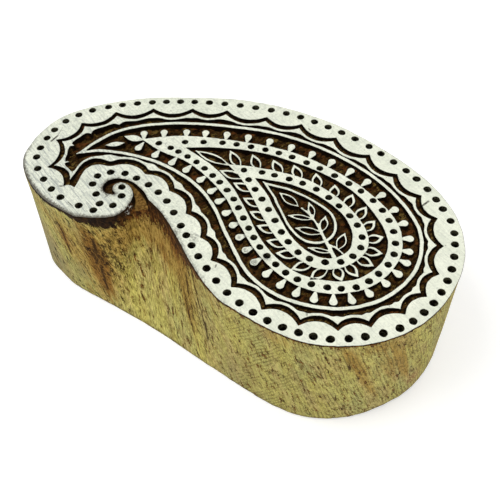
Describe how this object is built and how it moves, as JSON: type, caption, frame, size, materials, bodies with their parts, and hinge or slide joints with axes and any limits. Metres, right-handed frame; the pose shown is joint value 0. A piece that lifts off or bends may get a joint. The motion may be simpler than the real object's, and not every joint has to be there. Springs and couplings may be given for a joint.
{
  "type": "wooden textile printing block",
  "caption": "Hand printing block for textiles: a sawn wooden billet with a paisley carved in relief on its face, under a white ground coat that is left on the ridges.",
  "frame": {"origin": "bottom centre of the block's box, on the sawn back that it rests on", "axes": "+X from the curl to the round head, +Y to the convex back edge, +Z from the sawn back to the printing face"},
  "size_m": [0.127, 0.072, 0.04],
  "materials": {
    "wood": "matte",
    "ground_coat": "matte"
  },
  "bodies": {
    "root": {"carved_block": "wood", "rim_coat": "ground_coat", "scalloped_line_coat": "ground_coat", "paisley_line_coat": "ground_coat", "bead_coats": "ground_coat", "outer_band_coat": "ground_coat", "leaf_coats": "ground_coat", "inner_band_coat": "ground_coat", "drop_line_coat": "ground_coat", "sprig_coat": "ground_coat"}
  },
  "joints": []
}
